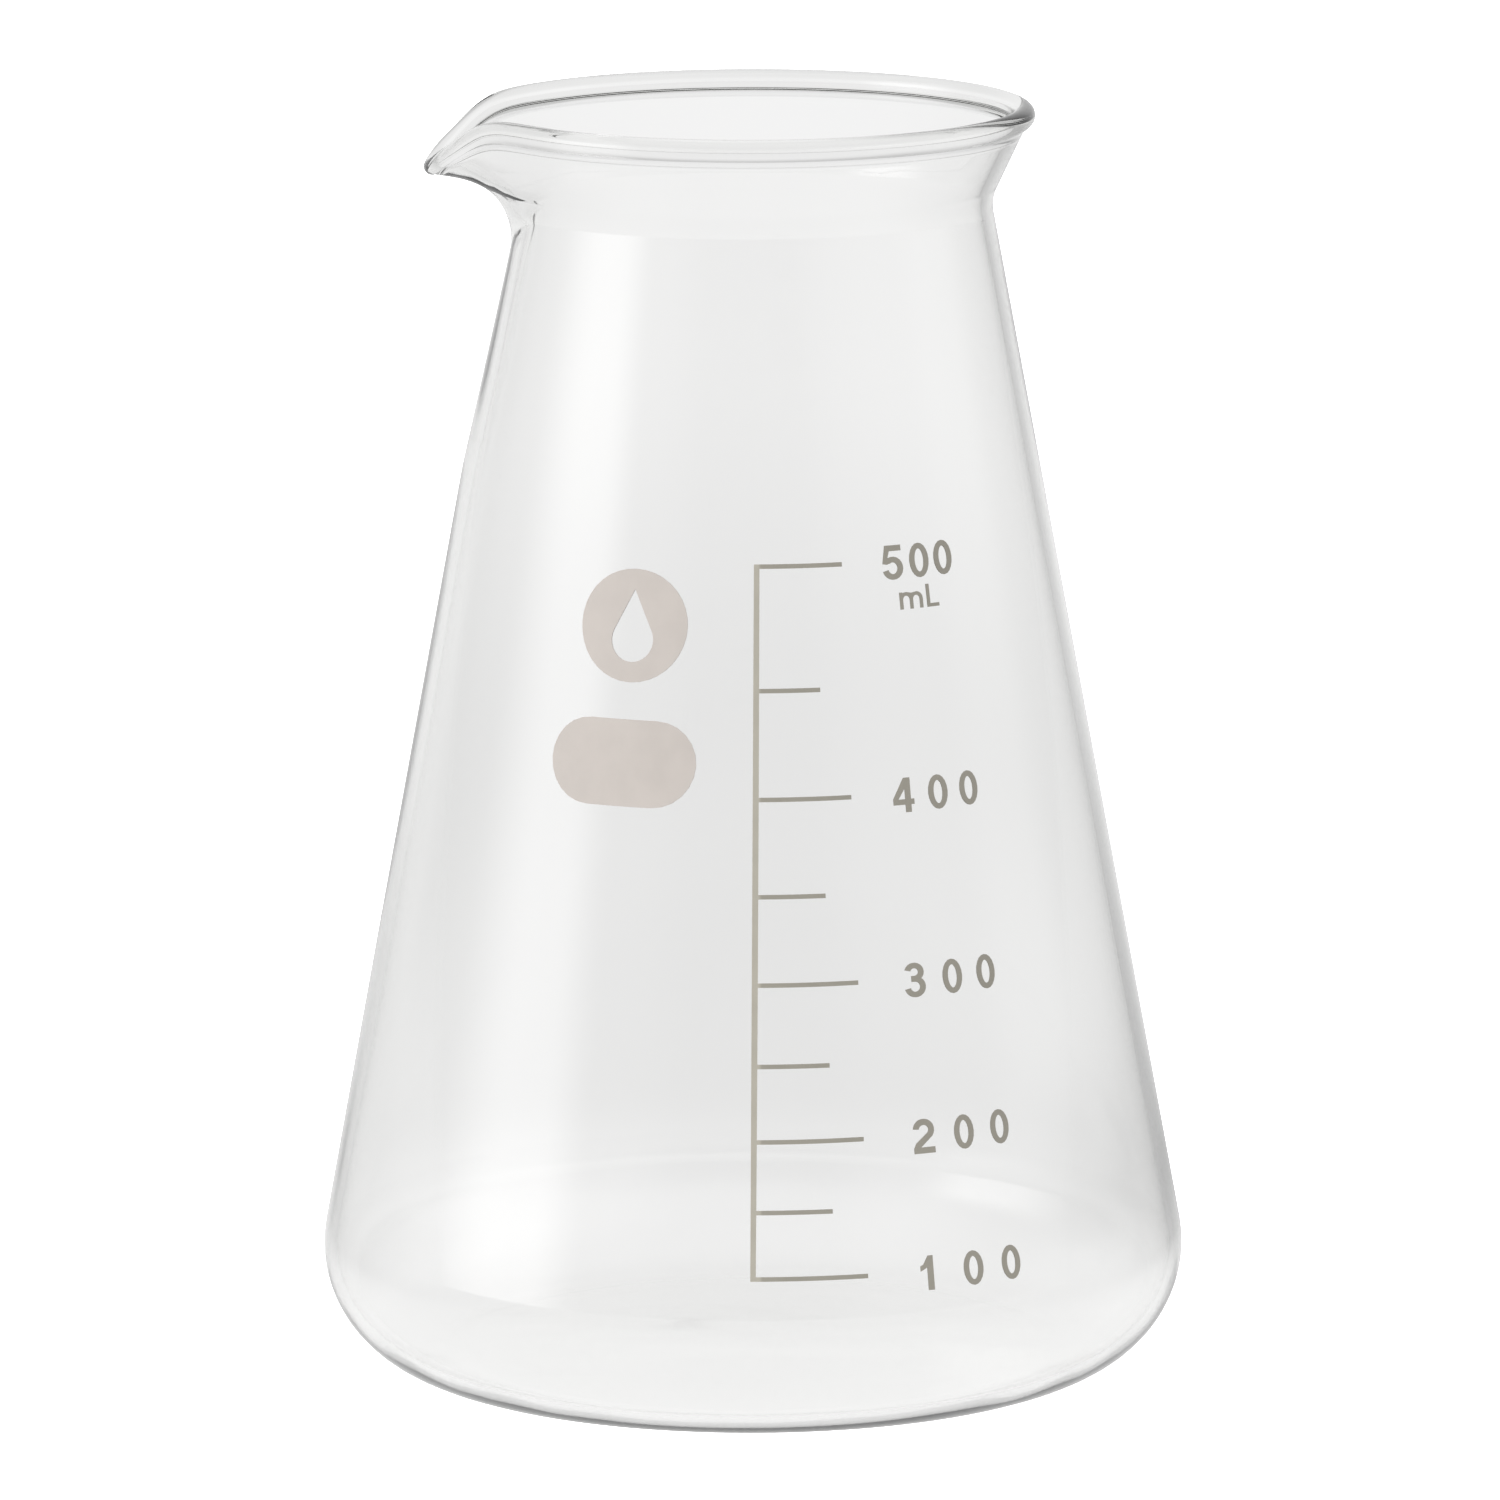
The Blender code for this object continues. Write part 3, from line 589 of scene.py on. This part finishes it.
def make_floor(studio):
    disc = bmesh.new()
    bmesh.ops.create_circle(disc, cap_ends=True, radius=STUDIO_REACH, segments=96)
    mesh = bpy.data.meshes.new("floor")
    disc.to_mesh(mesh)
    disc.free()
    floor = add_object("floor", mesh)
    floor.location.z = -STUDIO_DROP
    mesh.materials.append(floor_material(studio))


def make_key_light(studio):
    """A soft lamp over the camera's left shoulder, for the enamel; the glass does not mirror it."""
    lamp = bpy.data.lights.new("key_light", "AREA")
    lamp.shape = "DISK"
    lamp.size = KEY_SIZE
    lamp.energy = KEY_POWER
    light = add_object("key_light", lamp)
    light.parent = studio
    light.location = KEY_PLACE
    light.rotation_euler = KEY_PLACE.to_track_quat("Z", "Y").to_euler()
    light.visible_camera = False
    light.visible_glossy = False
    light.visible_transmission = False


def make_camera():
    data = bpy.data.cameras.new("camera")
    data.lens = CAMERA_LENS
    camera = add_object("camera", data)
    away = Vector((0, -math.cos(CAMERA_TILT), math.sin(CAMERA_TILT)))
    camera.location = AIM + CAMERA_DISTANCE * away
    camera.rotation_euler = (math.pi / 2 - CAMERA_TILT, CAMERA_ROLL, 0)
    bpy.context.scene.camera = camera
    return camera


def make_studio(camera):
    """An empty on the beaker's axis that turns with the camera, for the light to follow."""
    studio = add_object("studio", None)
    follow = studio.constraints.new("COPY_ROTATION")
    follow.target = camera
    follow.use_x = False
    follow.use_y = False
    return studio


def dress_enamel():
    """Gives each enamel node of the CAD its look."""
    looks = {slot: enamel_material(slot) for slot in ("grey_enamel", "pale_enamel")}
    for item in frame["record"]["subparts"]:
        if item["node"] != "vessel":
            node = frame["nodes"][item["node"]]
            node.material_slots[0].material = looks[item["material_slot"]]


def set_rendering():
    """True colours, and enough bounces for light to find its way out of the glass."""
    scene = bpy.context.scene
    scene.view_settings.view_transform = "Standard"
    scene.cycles.max_bounces = 24
    scene.cycles.transmission_bounces = 24


camera = make_camera()
studio = make_studio(camera)
make_world(studio)
make_floor(studio)
make_key_light(studio)
make_vessel()
dress_enamel()
set_rendering()
